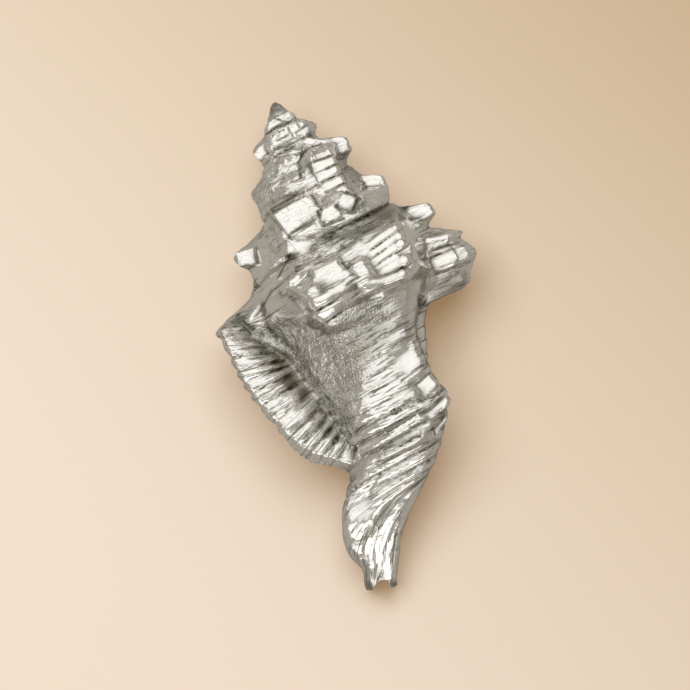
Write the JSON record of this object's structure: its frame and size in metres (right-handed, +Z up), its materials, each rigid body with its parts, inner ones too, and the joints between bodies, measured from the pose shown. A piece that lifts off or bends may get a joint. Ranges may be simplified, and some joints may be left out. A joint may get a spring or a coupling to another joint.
{
  "type": "conch shell",
  "caption": "Knobbed sea snail shell with a flared lip, a big side spine and a long bent canal, silver plated, lying on its mouth.",
  "frame": {"origin": "on the table, under the middle of the shell's box", "axes": "+Z up from the table, +Y along the spire's axis towards the apex, +X towards the big spine; the mouth faces down"},
  "size_m": [0.0836, 0.1502, 0.0639],
  "materials": {
    "silver_plating": "bright silver plating over a finely ridged shell, slightly warm, with darker lines in the grooves"
  },
  "bodies": {
    "root": {"conch_shell": "silver_plating"}
  },
  "joints": []
}
